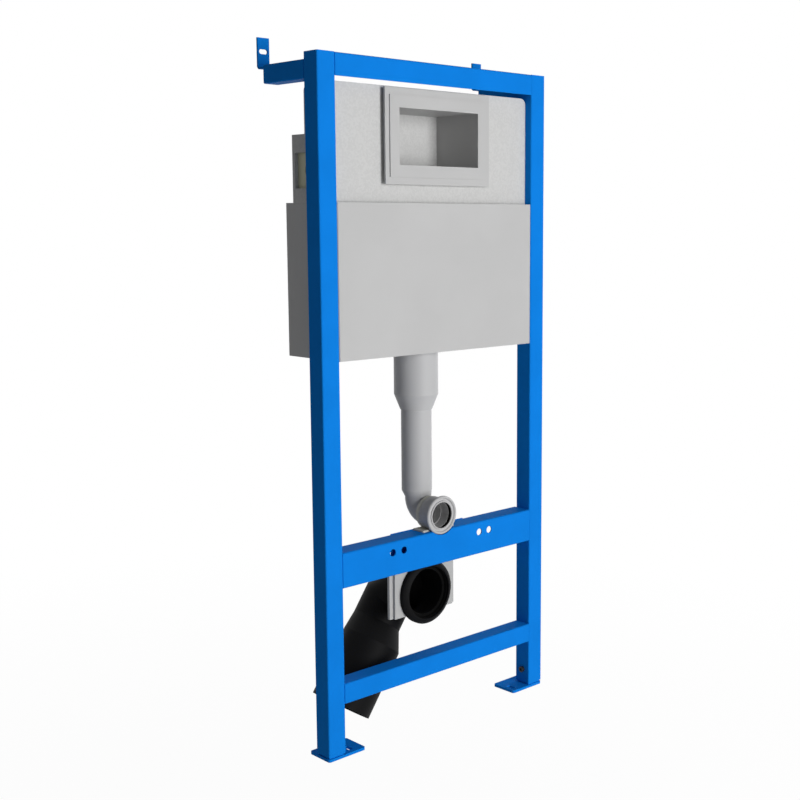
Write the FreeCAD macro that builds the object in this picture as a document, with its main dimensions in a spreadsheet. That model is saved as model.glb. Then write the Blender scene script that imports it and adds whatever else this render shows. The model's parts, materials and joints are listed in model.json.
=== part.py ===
import FreeCAD, Part

import math
import os
import re

import Sketcher
from FreeCAD import Vector

# Frame for a wall-hung toilet with its concealed cistern, in millimetres.
# Every sketch is dimensioned from one datum: the left post's outer side (x),
# the posts' front (y, towards the wall) and the floor (z). The bodies are then
# placed so that the origin lies on the left wall bracket's back face.

# Driving sizes
SIZES = [
    ("FrameHeight", 1150, "top of the posts above the floor"),
    ("FrameWidth", 515, "over both posts"),
    ("WallDistance", 165, "front of the posts to the wall"),
    ("PostWidth", 35, "square tube of the posts"),
    ("PostWall", 2, "wall of the posts"),
    ("PostCorner", 2.5, "outer corner radius of the posts"),
    ("PostFoot", 8, "lower end of the posts above the floor"),
    ("SheetThickness", 2, "sheet of the folded rails"),
    ("BendRadius", 1.5, "inner bend radius of the folded sheets"),
    ("TopRailHeight", 36, "front flange of the top rail"),
    ("CrossRailTop", 350, "top of the cross rail above the floor"),
    ("CrossRailHeight", 60, "front of the cross rail"),
    ("CrossRailDepth", 38.5, "flanges of the cross rail"),
    ("LowRailTop", 127, "top of the low rail above the floor"),
    ("StudDrop", 19, "stud holes below the cross rail's top"),
    ("StudNear", 180, "spacing of the inner pair of stud holes"),
    ("StudStep", 25, "from an inner stud hole to the outer one"),
    ("StudHole", 12.5, "diameter of the stud holes"),
    ("CapClearance", 0.15, "gap round the plugs in the posts"),
    ("CapLid", 3, "lid of the plugs"),
    ("CapLength", 15, "length of the plugs"),
    ("CapWall", 2, "skirt of the plugs"),
    ("ArmWidth", 30, "square tube of the wall arms"),
    ("ArmWall", 2, "wall of the wall arms"),
    ("ArmCorner", 2.5, "outer corner radius of the wall arms"),
    ("ArmDrop", 11, "top of the wall arms below the posts' top"),
    ("ArmLength", 107, "wall arms behind the posts"),
    ("BracketSideGap", 1.75, "gap beside the wall brackets in their arms"),
    ("BracketThickness", 3.5, "thickness of the wall brackets"),
    ("BracketBend", 3, "inner bend radius of the wall brackets"),
    ("BracketRise", 34.5, "top of the wall brackets above the posts' top"),
    ("BracketReach", 82, "level leg of the wall brackets"),
    ("BracketSlotDrop", 22, "wall slots below the brackets' top"),
    ("BracketSlotLength", 17, "length of the wall slots"),
    ("BracketSlotWidth", 8, "width of the wall slots"),
    ("LegClearance", 0.5, "gap round the legs in the posts"),
    ("LegWall", 2, "wall of the legs"),
    ("LegCorner", 1.5, "outer corner radius of the legs"),
    ("LegLength", 280, "legs above the foot plates"),
    ("FootLength", 77, "foot plates across the frame"),
    ("FootDepth", 53, "foot plates from front to back"),
    ("FootThickness", 5, "thickness of the foot plates"),
    ("FootCorner", 4, "corner radius of the foot plates"),
    ("LeftSlotInset", 24, "left floor slot from the plate's inner end"),
    ("RightSlotInset", 11.5, "right floor slot from the plate's inner end"),
    ("FootSlotDepth", 17.5, "middle of the floor slots from the front"),
    ("FootSlotLength", 19, "length of the floor slots"),
    ("FootSlotWidth", 8.5, "width of the floor slots"),
    ("ScrewHeight", 33.6, "clamp screws above the floor"),
    ("ScrewDepth", 16.4, "clamp screws from the front"),
    ("ScrewHead", 11, "head diameter of the clamp screws"),
    ("ScrewHeadLength", 5, "head length of the clamp screws"),
    ("ScrewShank", 6, "shank diameter of the clamp screws"),
    ("ScrewClearance", 0.2, "gap round the shank in the post's wall"),
    ("ScrewSocket", 5, "width of the hexagon in the screws' heads"),
    ("ScrewSocketDepth", 2.5, "depth of that hexagon"),
    ("SideGap", 0.3, "gap between the cistern and the posts"),
    ("TankDepth", 138.7, "depth of the tank"),
    ("TankHeight", 253.5, "height of the tank"),
    ("TankCorner", 3, "upright corner radius of the tank"),
    ("ShellDrop", 42, "top of the insulation shell below the posts' top"),
    ("ShellHeight", 189, "height of the shell above the tank"),
    ("ShellFront", 15, "insulation shell behind the posts' front"),
    ("ShellStep", 83, "back of the shell's tall front part"),
    ("ShellBack", 119.7, "back of the shell"),
    ("ShoulderDrop", 79.5, "low back part below the shell's top"),
    ("ShellCorner", 12, "top corner radius of the shell"),
    ("ShellEdge", 4, "corner radius of the shell's back"),
    ("HousingSide", 28.2, "valve housing beside the access opening"),
    ("HousingDrop", 13, "top of the valve housing below the shell's top"),
    ("AccessDrop", 80.8, "middle of the access opening below the shell's top"),
    ("OpeningWidth", 179.5, "clear width of the access opening"),
    ("OpeningHeight", 92.5, "clear height of the access opening"),
    ("OpeningBack", 11.2, "foam behind the access opening"),
    ("FrameRim", 20.2, "width of the access frame round the opening"),
    ("FrameFront", 2, "access frame behind the posts' front"),
    ("FlangeSide", 8.7, "access flange beside the access frame"),
    ("FlangeRise", 11.5, "access flange above and below the access frame"),
    ("FlangeStep", 2.3, "access flange behind the access frame's front"),
    ("FlangeThickness", 3.5, "thickness of the access flange's lip"),
    ("FrameCorner", 1.5, "corner radius of the access frame"),
    ("DuctWall", 3, "wall of the access duct"),
    ("DuctClearance", 0.2, "gap round the access duct"),
    ("InletWidth", 62, "inlet recess from front to back"),
    ("InletBackWall", 9.7, "foam behind the inlet recess"),
    ("InletRise", 23, "bottom of the inlet recess above the tank"),
    ("InletHeight", 57.5, "height of the inlet recess"),
    ("InletDepth", 24, "depth of the inlet recess"),
    ("InsertInset", 6, "inlet insert inside its recess"),
    ("InsertGap", 0.3, "gap round the inlet insert"),
    ("InletBore", 19, "bore of the water inlet"),
    ("InletFloor", 3, "wall behind the bore of the water inlet"),
    ("InletRim", 2, "rim round the bore of the water inlet"),
    ("PipeSetback", 29.5, "middle of the flush pipe behind the cross rail"),
    ("PipeDiameter", 54.4, "outer diameter of the flush pipe"),
    ("PipeWall", 3, "wall of the flush pipe"),
    ("PipeTopGap", 25.5, "upper end of the flush pipe below the tank"),
    ("SocketStep", 12, "flush socket beyond the pipe, on the radius"),
    ("SocketWall", 3, "wall of the flush socket"),
    ("SocketBarrel", 79, "socket from the tank to its cone"),
    ("SocketConeLength", 27, "height of the socket's cone"),
    ("SocketLip", 1.2, "wall at the cone's lower end"),
    ("FitClearance", 0.2, "gap between pipes that slide into each other"),
    ("ElbowStep", 1.7, "flush elbow inside the pipe's outside, on the radius"),
    ("ElbowWall", 4.75, "wall of the flush elbow"),
    ("ElbowThroat", 0.5, "bend radius beyond the elbow's outer radius"),
    ("ElbowNeck", 1.2, "straight neck above the bend"),
    ("ElbowShoulder", 10, "height of the elbow's shoulder"),
    ("ElbowSpigot", 26, "length of the elbow inside the pipe"),
    ("OutletRise", 26.8, "flush outlet above the cross rail's top"),
    ("OutletInset", 1, "end of the outlet sleeve behind the posts' front"),
    ("SleeveEnd", 28, "back of the outlet sleeve from the front"),
    ("RingRim", 8.8, "outlet ring beyond the elbow, on the radius"),
    ("RingThickness", 5, "thickness of the outlet ring"),
    ("RingEdge", 1.2, "bevel of the outlet ring and collar"),
    ("CollarRim", 4.5, "outlet collar beyond the elbow, on the radius"),
    ("CollarBack", 30, "back of the outlet collar from the front"),
    ("NotchClearance", 0.4, "gap round the outlet in the cross rail"),
    ("ClipWidth", 88, "foot of the pipe clip"),
    ("ClipFront", 10, "front of the clip's foot"),
    ("ClipThickness", 3, "thickness of the clip's foot"),
    ("ClipRim", 3.5, "clip's band beyond the elbow, on the radius"),
    ("CarrierWidth", 171, "width of the drain carrier"),
    ("CarrierThickness", 3, "sheet of the drain carrier"),
    ("CarrierGap", 0.5, "gap between the drain carrier and the flush elbow"),
    ("CarrierDrop", 50, "underside of the drain carrier below the rail's top"),
    ("ClampSetback", 11.5, "front drain clamp behind the cross rail"),
    ("ClampThickness", 5.5, "thickness of the drain clamps"),
    ("FrontClampWidth", 138, "width of the front drain clamp"),
    ("BackClampWidth", 154, "width of the back drain clamp"),
    ("ClampReach", 38, "lower end of the clamps below the drain's middle"),
    ("ClampClearance", 0.3, "gap round the drain in its clamps"),
    ("DrainDrop", 121, "drain socket's middle below the cross rail's top"),
    ("DrainStub", 10, "straight stub of the drain bend through the clamps"),
    ("DrainBendRadius", 60, "bend radius of the drain"),
    ("DrainTilt", 35.3, "slope of the falling part off the upright, degrees"),
    ("DrainDiameter", 90, "outer diameter of the drain bend"),
    ("DrainWall", 3, "wall of the drain"),
    ("DrainNeck", 15, "straight neck below the drain bend"),
    ("ReducerCone", 43, "length of the reducer's cone"),
    ("ReducerTail", 123, "length of the reducer's wide end"),
    ("ReducerDiameter", 110, "outer diameter of the reducer's wide end"),
    ("ReducerSpigot", 18, "reducer inside the bend's neck"),
    ("LipLength", 9.5, "drain socket in front of its clamps"),
    ("LipChamfer", 3.5, "length of the drain socket's chamfer"),
    ("LipSlope", 10, "height of the drain socket's chamfer"),
    ("LipEdge", 2, "flat front edge of the drain socket"),
    ("SealStep", 1, "seat of the drain seal beyond the bend, on the radius"),
    ("SealHeight", 4, "drain seal, on the radius"),
    ("SealLength", 5, "drain seal from front to back"),
    ("SealFront", 1.5, "drain seal behind the socket's front"),
    ("SealFit", 0.1, "gap round the drain seal"),
]

# Heights, depths and diameters that follow from the sizes above
DERIVED = [
    ("Middle", "FrameWidth / 2"),
    ("RightPost", "FrameWidth - PostWidth"),
    ("RightArm", "FrameWidth - ArmWidth"),
    ("ArmTop", "FrameHeight - ArmDrop"),
    ("BracketWidth", "ArmWidth - 2 * ArmWall - 2 * BracketSideGap"),
    ("BracketTop", "FrameHeight + BracketRise"),
    ("BracketSlotHeight", "BracketTop - BracketSlotDrop"),
    ("StudHeight", "CrossRailTop - StudDrop"),
    ("StudFar", "StudNear + 2 * StudStep"),
    ("CisternLeft", "PostWidth + SideGap"),
    ("CisternRight", "FrameWidth - PostWidth - SideGap"),
    ("ShellTop", "FrameHeight - ShellDrop"),
    ("ShellShoulder", "ShellTop - ShoulderDrop"),
    ("HousingTop", "ShellTop - HousingDrop"),
    ("TankTop", "ShellTop - ShellHeight"),
    ("TankBottom", "TankTop - TankHeight"),
    ("AccessHeight", "ShellTop - AccessDrop"),
    ("OpeningDepth", "ShellBack - OpeningBack"),
    ("FlangeFront", "FrameFront + FlangeStep"),
    ("FlangeBack", "FlangeFront + FlangeThickness"),
    ("InletBack", "ShellBack - InletBackWall"),
    ("InletFront", "InletBack - InletWidth"),
    ("InletBottom", "TankTop + InletRise"),
    ("InletTop", "InletBottom + InletHeight"),
    ("PipeDepth", "CrossRailDepth + PipeSetback"),
    ("PipeTop", "TankBottom - PipeTopGap"),
    ("SocketRadius", "PipeDiameter / 2 + SocketStep"),
    ("ConeTop", "TankBottom - SocketBarrel"),
    ("ConeBottom", "ConeTop - SocketConeLength"),
    ("ElbowRadius", "PipeDiameter / 2 - ElbowStep"),
    ("ElbowBore", "ElbowRadius - ElbowWall"),
    ("ElbowBend", "ElbowRadius + ElbowThroat"),
    ("ElbowFit", "ElbowRadius + FitClearance"),
    ("OutletHeight", "CrossRailTop + OutletRise"),
    ("BendTop", "OutletHeight + ElbowBend"),
    ("ShoulderBottom", "BendTop + ElbowNeck"),
    ("PipeBottom", "ShoulderBottom + ElbowShoulder"),
    ("RingRadius", "ElbowRadius + RingRim"),
    ("CollarRadius", "ElbowRadius + CollarRim"),
    ("ClipFoot", "CrossRailDepth - FitClearance"),
    ("CarrierTop", "OutletHeight - ElbowRadius - CarrierGap"),
    ("CarrierBottom", "CrossRailTop - CarrierDrop"),
    ("ClampFront", "CrossRailDepth + ClampSetback"),
    ("DrainHeight", "CrossRailTop - DrainDrop"),
    ("ClampBottom", "DrainHeight - ClampReach"),
    ("DrainRadius", "DrainDiameter / 2"),
    ("DrainBore", "DrainRadius - DrainWall"),
    ("DrainBendStart", "ClampFront + DrainStub"),
    ("DrainDepth", "DrainBendStart + DrainBendRadius"),
    ("NeckEnd", "DrainBendRadius + DrainNeck"),
    ("ConeEnd", "NeckEnd + ReducerCone"),
    ("DrainEnd", "ConeEnd + ReducerTail"),
    ("SleeveRadius", "DrainBore - FitClearance"),
    ("LipFront", "ClampFront - LipLength"),
    ("SealSeat", "DrainRadius + SealStep"),
    ("SealStart", "LipFront + SealFront"),
    ("SealBack", "SealStart + SealLength"),
    ("LipMouth", "SealSeat + LipEdge"),
    ("LipRadius", "LipMouth + LipSlope"),
]

FULL_TURN = 360
QUARTER_TURN = 90
BEND_CUTS = 6
SIZE_SHEET = "Sizes"
WORK_CELL = "E1"
TO_THE_RIGHT = "side"
TO_THE_BACK = "front"
UPWARDS = "plan"
PLANES = {TO_THE_RIGHT: "YZ_Plane", TO_THE_BACK: "XZ_Plane", UPWARDS: "XY_Plane"}
START = 1
END = 2
CENTRE = 3
ORIGIN = -1
ACROSS_AXIS = -1
UPRIGHT_AXIS = -2
OUT_OF_SKETCH = Vector(0, 0, 1)

document = FreeCAD.newDocument("WallHungToiletFrame")
sheet = document.addObject("Spreadsheet::Sheet", SIZE_SHEET)
for row, (name, number, meaning) in enumerate(SIZES, start=1):
    sheet.set(f"A{row}", name)
    sheet.set(f"B{row}", str(number))
    sheet.setAlias(f"B{row}", name)
    sheet.set(f"C{row}", meaning)
for row, (name, rule) in enumerate(DERIVED, start=len(SIZES) + 1):
    sheet.set(f"A{row}", name)
    sheet.set(f"B{row}", "=" + rule)
    sheet.setAlias(f"B{row}", name)
document.recompute()

views = {}


# Sizes and sketches
def bound(text):
    """A formula over the sheet's names, as an object outside the sheet writes it."""
    return re.sub(r"[A-Z]\w+", lambda word: f"{SIZE_SHEET}.{word.group()}", text)


def value(text):
    """The number that a formula over the sheet's names gives now."""
    sheet.set(WORK_CELL, "=" + text)
    sheet.recompute()
    return float(sheet.get(WORK_CELL))


def new_body(label):
    """A sub-part, placed so that the origin lies on the left wall bracket's back."""
    body = document.addObject("PartDesign::Body", label)
    body.Label = label
    body.setExpression("Placement.Base.x", bound("-ArmWidth / 2"))
    body.setExpression("Placement.Base.y", bound("-WallDistance"))
    body.setExpression("Placement.Base.z", bound("-FrameHeight"))
    return body


def new_sketch(body, name, view, at, across="0", up="0"):
    """A sketch seen from the side, the front or above, lying at a distance from the datum."""
    sketch = body.newObject("Sketcher::SketchObject", f"{body.Name}_{name}")
    plane = next(item for item in body.Origin.OriginFeatures if item.Role == PLANES[view])
    sketch.AttachmentSupport = (plane, "")
    sketch.MapMode = "FlatFace"
    sign = "-" if view == TO_THE_BACK else ""
    sketch.setExpression("AttachmentOffset.Base.x", bound(across))
    sketch.setExpression("AttachmentOffset.Base.y", bound(up))
    sketch.setExpression("AttachmentOffset.Base.z", bound(f"{sign}({at})"))
    views[sketch.Name] = view
    return sketch


def dimension(sketch, kind, where, text):
    """A constraint whose value follows a formula."""
    index = sketch.addConstraint(Sketcher.Constraint(kind, *where, value(text)))
    sketch.setExpression(f"Constraints[{index}]", bound(text))


def at_across(sketch, line, point, text):
    """Holds a point at a distance across from the sketch's origin."""
    if text == "0":
        sketch.addConstraint(Sketcher.Constraint("PointOnObject", line, point, UPRIGHT_AXIS))
    else:
        dimension(sketch, "DistanceX", (ORIGIN, START, line, point), text)


def at_up(sketch, line, point, text):
    """Holds a point at a distance up from the sketch's origin."""
    if text == "0":
        sketch.addConstraint(Sketcher.Constraint("PointOnObject", line, point, ACROSS_AXIS))
    else:
        dimension(sketch, "DistanceY", (ORIGIN, START, line, point), text)


def polygon(sketch, corners, closed=True):
    """Straight lines from corner to corner, each corner dimensioned."""
    spots = [Vector(value(across), value(up), 0) for across, up in corners]
    following = spots[1:] + spots[:1] if closed else spots[1:]
    lines = [sketch.addGeometry(Part.LineSegment(*ends)) for ends in zip(spots, following)]
    for index, line in enumerate(lines):
        if index or closed:
            sketch.addConstraint(Sketcher.Constraint("Coincident", lines[index - 1], END, line, START))
        at_across(sketch, line, START, corners[index][0])
        at_up(sketch, line, START, corners[index][1])
    if not closed:
        at_across(sketch, lines[-1], END, corners[-1][0])
        at_up(sketch, lines[-1], END, corners[-1][1])


def corner_arc(sketch, before, corner, after, radius):
    """Draws the arc that rounds a corner; gives it and its end at the line before."""
    inward = (before - corner).normalize()
    outward = (after - corner).normalize()
    middle = corner + (inward + outward) * radius
    turns_left = inward.cross(outward).z < 0
    first, last = (inward, outward) if turns_left else (outward, inward)
    from_angle = math.atan2(-last.y, -last.x)
    circle_line = Part.Circle(middle, OUT_OF_SKETCH, radius)
    arc = sketch.addGeometry(Part.ArcOfCircle(circle_line, from_angle, from_angle + math.pi / 2))
    return arc, (START if turns_left else END)


def outline(sketch, corners):
    """A closed outline of level and upright lines; a corner may have a radius."""
    spots = [Vector(value(corner[0]), value(corner[1]), 0) for corner in corners]
    radii = [value(corner[2]) if len(corner) > 2 else 0 for corner in corners]
    count = len(corners)
    lines = []
    for index, spot in enumerate(spots):
        following = (index + 1) % count
        way = (spots[following] - spot).normalize()
        first = spot + way * radii[index]
        last = spots[following] - way * radii[following]
        line = sketch.addGeometry(Part.LineSegment(first, last))
        lines.append(line)
        if abs(way.y) < abs(way.x):
            sketch.addConstraint(Sketcher.Constraint("Horizontal", line))
            at_up(sketch, line, START, corners[index][1])
        else:
            sketch.addConstraint(Sketcher.Constraint("Vertical", line))
            at_across(sketch, line, START, corners[index][0])
    for index, corner in enumerate(corners):
        before = lines[index - 1]
        after = lines[index]
        if not radii[index]:
            sketch.addConstraint(Sketcher.Constraint("Coincident", before, END, after, START))
            continue
        next_spot = spots[(index + 1) % count]
        arc, near = corner_arc(sketch, spots[index - 1], spots[index], next_spot, radii[index])
        far = START + END - near
        sketch.addConstraint(Sketcher.Constraint("Tangent", before, END, arc, near))
        sketch.addConstraint(Sketcher.Constraint("Tangent", arc, far, after, START))
        dimension(sketch, "Radius", (arc,), corner[2])


def rectangle(sketch, left, bottom, right, top, radius=None):
    """A rectangle, with its four corners rounded where a radius is given."""
    corners = [(left, bottom), (right, bottom), (right, top), (left, top)]
    if radius:
        corners = [(across, up, radius) for across, up in corners]
    outline(sketch, corners)


def circle(sketch, across, up, radius):
    """A circle about a dimensioned centre."""
    middle = Vector(value(across), value(up), 0)
    ring = sketch.addGeometry(Part.Circle(middle, OUT_OF_SKETCH, value(radius)))
    at_across(sketch, ring, CENTRE, across)
    at_up(sketch, ring, CENTRE, up)
    dimension(sketch, "Radius", (ring,), radius)


def slot(sketch, across, up, length, width, upright=False):
    """A slot with round ends about its middle, lying across or upright."""
    reach = f"({length} - {width}) / 2"
    radius = value(width) / 2
    middle = Vector(value(across), value(up), 0)
    way = Vector(0, 1, 0) if upright else Vector(1, 0, 0)
    side = Vector(-way.y, way.x, 0) * radius
    near = middle - way * value(reach)
    far = middle + way * value(reach)
    turn = math.atan2(-way.x, way.y)
    far_circle = Part.Circle(far, OUT_OF_SKETCH, radius)
    near_circle = Part.Circle(near, OUT_OF_SKETCH, radius)
    far_arc = sketch.addGeometry(Part.ArcOfCircle(far_circle, turn, turn + math.pi))
    near_arc = sketch.addGeometry(Part.ArcOfCircle(near_circle, turn + math.pi, turn + 2 * math.pi))
    first = sketch.addGeometry(Part.LineSegment(far + side, near + side))
    last = sketch.addGeometry(Part.LineSegment(near - side, far - side))
    loop = [far_arc, first, near_arc, last]
    for index, line in enumerate(loop):
        sketch.addConstraint(Sketcher.Constraint("Tangent", loop[index - 1], END, line, START))
    sketch.addConstraint(Sketcher.Constraint("Equal", far_arc, near_arc))
    sketch.addConstraint(Sketcher.Constraint("Vertical" if upright else "Horizontal", first))
    dimension(sketch, "Diameter", (near_arc,), width)
    if upright:
        at_across(sketch, near_arc, CENTRE, across)
        at_up(sketch, near_arc, CENTRE, f"{up} - {reach}")
        at_up(sketch, far_arc, CENTRE, f"{up} + {reach}")
    else:
        at_up(sketch, near_arc, CENTRE, up)
        at_across(sketch, near_arc, CENTRE, f"{across} - {reach}")
        at_across(sketch, far_arc, CENTRE, f"{across} + {reach}")


# Features
def pad(sketch, length):
    """Adds material from the sketch to the right, to the back or upwards."""
    body = sketch.getParentGeoFeatureGroup()
    feature = body.newObject("PartDesign::Pad", f"{sketch.Name}_pad")
    feature.Profile = sketch
    feature.setExpression("Length", bound(length))
    feature.Reversed = views[sketch.Name] == TO_THE_BACK


def pocket(sketch, length):
    """Cuts from the sketch to the right, to the back or upwards."""
    body = sketch.getParentGeoFeatureGroup()
    document.recompute()
    before = body.Shape.Volume
    feature = body.newObject("PartDesign::Pocket", f"{sketch.Name}_cut")
    feature.Profile = sketch
    feature.setExpression("Length", bound(length))
    feature.Reversed = views[sketch.Name] != TO_THE_BACK
    document.recompute()
    if body.Shape.Volume >= before:
        raise RuntimeError(f"{sketch.Name} cuts nothing")


def revolve(sketch, axis, kind="PartDesign::Revolution"):
    """Turns the sketch once about one of its axes, to add or to cut material."""
    body = sketch.getParentGeoFeatureGroup()
    feature = body.newObject(kind, f"{sketch.Name}_turned")
    feature.Profile = sketch
    feature.ReferenceAxis = (sketch, [axis])
    feature.Angle = FULL_TURN


def square_tube(body, view, at, left, bottom, width, wall, corner, length):
    """A square tube with round corners, along the way that its view looks."""
    sketch = new_sketch(body, "section", view, at)
    right = f"{left} + {width}"
    top = f"{bottom} + {width}"
    rectangle(sketch, left, bottom, right, top, corner)
    rectangle(
        sketch,
        f"{left} + {wall}", f"{bottom} + {wall}",
        f"{right} - {wall}", f"{top} - {wall}",
        f"{corner} / 2",
    )
    pad(sketch, length)


# Welded steel frame
def post(label, left, inner_wall):
    """An upright tube, with the hole for its clamp screw in the inner wall."""
    body = new_body(label)
    height = "FrameHeight - PostFoot"
    square_tube(body, UPWARDS, "PostFoot", left, "0", "PostWidth", "PostWall", "PostCorner", height)
    hole = new_sketch(body, "screw_hole", TO_THE_RIGHT, inner_wall)
    circle(hole, "ScrewDepth", "ScrewHeight", "ScrewShank / 2 + ScrewClearance")
    pocket(hole, "PostWall")
    return body


def post_cap(label, left):
    """A plug that closes a post's top, with a thin skirt inside the tube."""
    body = new_body(label)
    near = "PostWall + CapClearance"
    far = "PostWidth - PostWall - CapClearance"
    bottom = "FrameHeight - CapLength"
    block = new_sketch(body, "block", UPWARDS, bottom)
    rectangle(block, f"{left} + {near}", near, f"{left} + {far}", far, "PostCorner / 2")
    pad(block, "CapLength")
    hollow = new_sketch(body, "hollow", UPWARDS, bottom)
    rectangle(
        hollow,
        f"{left} + {near} + CapWall", f"{near} + CapWall",
        f"{left} + {far} - CapWall", f"{far} - CapWall",
    )
    pocket(hollow, "CapLength - CapLid")
    return body


def top_rail():
    """An angle: a front flange and a level top flange with a round bend."""
    body = new_body("top_rail")
    sketch = new_sketch(body, "section", TO_THE_RIGHT, "PostWidth")
    low = "FrameHeight - TopRailHeight"
    under = "FrameHeight - SheetThickness"
    outline(sketch, [
        ("0", low),
        ("SheetThickness", low),
        ("SheetThickness", under, "BendRadius"),
        ("PostWidth", under),
        ("PostWidth", "FrameHeight"),
        ("0", "FrameHeight", "BendRadius + SheetThickness"),
    ])
    pad(sketch, "FrameWidth - 2 * PostWidth")
    return body


def cross_rail():
    """A channel open to the back, with the stud holes and a notch for the flush outlet."""
    body = new_body("cross_rail")
    sketch = new_sketch(body, "section", TO_THE_RIGHT, "PostWidth")
    low = "CrossRailTop - CrossRailHeight"
    outline(sketch, [
        ("0", low, "BendRadius + SheetThickness"),
        ("CrossRailDepth", low),
        ("CrossRailDepth", f"{low} + SheetThickness"),
        ("SheetThickness", f"{low} + SheetThickness", "BendRadius"),
        ("SheetThickness", "CrossRailTop - SheetThickness", "BendRadius"),
        ("CrossRailDepth", "CrossRailTop - SheetThickness"),
        ("CrossRailDepth", "CrossRailTop"),
        ("0", "CrossRailTop", "BendRadius + SheetThickness"),
    ])
    pad(sketch, "FrameWidth - 2 * PostWidth")
    holes = new_sketch(body, "stud_holes", TO_THE_BACK, "0")
    for spacing in ("StudNear", "StudFar"):
        for sign in ("-", "+"):
            circle(holes, f"Middle {sign} {spacing} / 2", "StudHeight", "StudHole / 2")
    pocket(holes, "SheetThickness")
    outlet_room(body, "notch")
    return body


def outlet_room(body, name):
    """Cuts the room for the outlet's ring and collar, with its clearance all round."""
    room = new_sketch(body, name, TO_THE_RIGHT, "Middle", up="OutletHeight")
    polygon(room, [
        ("-OutletInset", "0"),
        ("-OutletInset", "RingRadius + NotchClearance"),
        ("RingThickness + NotchClearance", "RingRadius + NotchClearance"),
        ("RingThickness + NotchClearance", "CollarRadius + NotchClearance"),
        ("CollarBack + NotchClearance", "CollarRadius + NotchClearance"),
        ("CollarBack + NotchClearance", "0"),
    ])
    revolve(room, "H_Axis", kind="PartDesign::Groove")


def low_rail():
    body = new_body("low_rail")
    length = "FrameWidth - 2 * PostWidth"
    bottom = "LowRailTop - PostWidth"
    square_tube(body, TO_THE_RIGHT, "PostWidth", "0", bottom, "PostWidth", "PostWall", "PostCorner", length)
    return body


def wall_arm(label, left):
    body = new_body(label)
    bottom = "ArmTop - ArmWidth"
    square_tube(
        body, TO_THE_BACK, "PostWidth", left, bottom, "ArmWidth", "ArmWall", "ArmCorner", "ArmLength"
    )
    return body


def wall_bracket(label, middle):
    """An angle strip: its level leg lies under the arm's top wall, its upright on the wall."""
    body = new_body(label)
    sketch = new_sketch(body, "section", TO_THE_RIGHT, f"{middle} - BracketWidth / 2")
    leg_top = "ArmTop - ArmWall"
    leg_end = "WallDistance - BracketReach"
    outline(sketch, [
        (leg_end, f"{leg_top} - BracketThickness"),
        ("WallDistance", f"{leg_top} - BracketThickness", "BracketBend + BracketThickness"),
        ("WallDistance", "BracketTop"),
        ("WallDistance - BracketThickness", "BracketTop"),
        ("WallDistance - BracketThickness", leg_top, "BracketBend"),
        (leg_end, leg_top),
    ])
    pad(sketch, "BracketWidth")
    opening = new_sketch(body, "wall_slot", TO_THE_BACK, "WallDistance - BracketThickness")
    slot(opening, middle, "BracketSlotHeight", "BracketSlotLength", "BracketSlotWidth")
    pocket(opening, "BracketThickness")
    return body


# Telescopic legs
def leg(label, left):
    body = new_body(label)
    near = "PostWall + LegClearance"
    width = f"(PostWidth - 2 * ({near}))"
    square_tube(
        body, UPWARDS, "FootThickness", f"{left} + {near}", near, width, "LegWall", "LegCorner", "LegLength"
    )
    return body


def foot_plate(label, left, slot_middle):
    body = new_body(label)
    plate = new_sketch(body, "plate", UPWARDS, "0")
    rectangle(plate, left, "0", f"{left} + FootLength", "FootDepth", "FootCorner")
    slot(plate, slot_middle, "FootSlotDepth", "FootSlotLength", "FootSlotWidth", upright=True)
    pad(plate, "FootThickness")
    return body


def clamp_screw(label, shank_start, head_start, socket_start):
    """A screw with a hexagon socket on a post's inner face, its shank in the post's wall."""
    body = new_body(label)
    shank = new_sketch(body, "shank", TO_THE_RIGHT, shank_start)
    circle(shank, "ScrewDepth", "ScrewHeight", "ScrewShank / 2")
    pad(shank, "PostWall")
    head = new_sketch(body, "head", TO_THE_RIGHT, head_start)
    circle(head, "ScrewDepth", "ScrewHeight", "ScrewHead / 2")
    pad(head, "ScrewHeadLength")
    socket = new_sketch(body, "socket", TO_THE_RIGHT, socket_start, across="ScrewDepth", up="ScrewHeight")
    across_flats = "ScrewSocket / 2"
    corner = "ScrewSocket / 2 * tan(30)"
    peak = "ScrewSocket / (2 * cos(30))"
    polygon(socket, [
        (across_flats, f"-{corner}"),
        (across_flats, corner),
        ("0", peak),
        (f"-{across_flats}", corner),
        (f"-{across_flats}", f"-{corner}"),
        ("0", f"-{peak}"),
    ])
    pocket(socket, "ScrewSocketDepth")
    return body


# Cistern
def cistern_tank():
    body = new_body("cistern_tank")
    sketch = new_sketch(body, "block", UPWARDS, "TankBottom")
    rectangle(sketch, "CisternLeft", "0", "CisternRight", "TankDepth", "TankCorner")
    pad(sketch, "TankHeight")
    return body


def duct_rectangle(sketch, margin="0"):
    """The access opening's rectangle, wider by a margin all round."""
    rectangle(
        sketch,
        f"Middle - OpeningWidth / 2 - ({margin})", f"AccessHeight - OpeningHeight / 2 - ({margin})",
        f"Middle + OpeningWidth / 2 + ({margin})", f"AccessHeight + OpeningHeight / 2 + ({margin})",
    )


def rim_rectangle(sketch, side, rise):
    """A rectangle with small round corners round the access opening."""
    rectangle(
        sketch,
        f"Middle - OpeningWidth / 2 - ({side})", f"AccessHeight - OpeningHeight / 2 - ({rise})",
        f"Middle + OpeningWidth / 2 + ({side})", f"AccessHeight + OpeningHeight / 2 + ({rise})",
        "FrameCorner",
    )


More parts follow.
